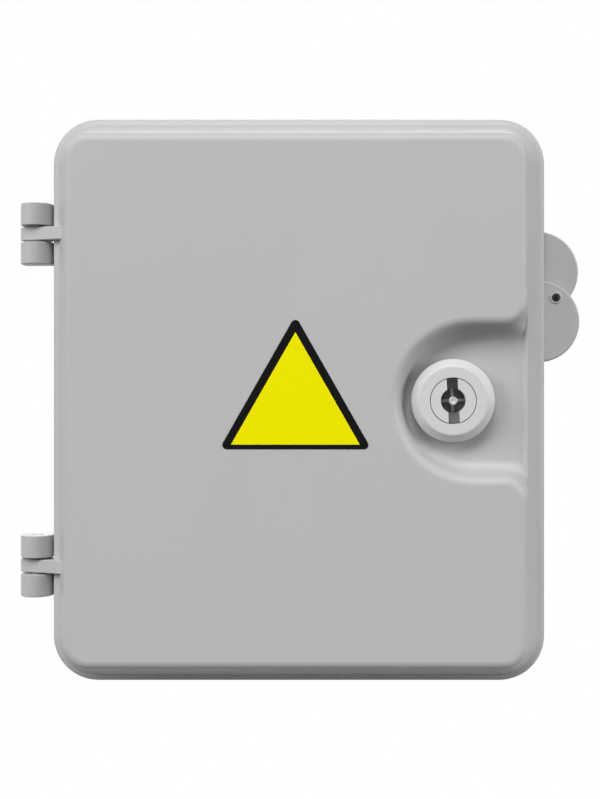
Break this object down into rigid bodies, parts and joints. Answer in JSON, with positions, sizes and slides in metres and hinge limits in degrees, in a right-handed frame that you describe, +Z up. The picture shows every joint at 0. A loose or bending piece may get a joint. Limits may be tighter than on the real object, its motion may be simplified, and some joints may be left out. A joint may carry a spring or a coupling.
{
  "type": "electrical enclosure",
  "caption": "Grey moulded wall enclosure with a hinged door, a keyed quarter-turn lock in a side bay and sealing lugs.",
  "frame": {"origin": "centre of the back face, on the wall, midway between the wall holes", "axes": "+Z up, +X to the right seen from the front, -Y out of the wall towards the viewer"},
  "size_m": [0.2001, 0.1, 0.2003],
  "materials": {
    "door_plastic": "satin moulded light grey",
    "base_plastic": "satin moulded light grey",
    "lock_plastic": "satin moulded pale grey",
    "nut_plastic": "moulded black",
    "seal_rubber": "soft black",
    "grommet_rubber": "soft dark grey",
    "galvanised_sheet": "galvanised",
    "plated_steel": "zinc plated",
    "bright_steel": "bright drawn"
  },
  "bodies": {
    "base": {"base_box": "base_plastic", "flange_gasket": "seal_rubber", "upper_hinge_pin": "bright_steel", "lower_hinge_pin": "bright_steel", "mounting_plate": "galvanised_sheet", "plate_screws": "plated_steel", "din_rail": "galvanised_sheet", "rail_screws": "plated_steel", "left_grommet": "grommet_rubber", "middle_grommet": "grommet_rubber", "right_grommet": "grommet_rubber"},
    "door": {"door_shell": "door_plastic", "lock_housing": "lock_plastic", "lock_seal": "seal_rubber", "lock_nut": "nut_plastic"},
    "lock_core": {"lock_rotor": "lock_plastic", "lock_pin": "bright_steel", "lock_cam": "plated_steel", "cam_washer": "plated_steel", "cam_screw": "plated_steel"}
  },
  "joints": [
    {"name": "door_swing", "type": "hinge", "parent": "base", "child": "door", "pos_m": [-0.0941, -0.076, 0], "axis": [0, 0, -1], "range_deg": [0, 180]},
    {"name": "lock_turn", "type": "hinge", "parent": "door", "child": "lock_core", "pos_m": [0.0541, -0.076, 0], "axis": [0, 1, 0], "range_deg": [0, 90]}
  ]
}
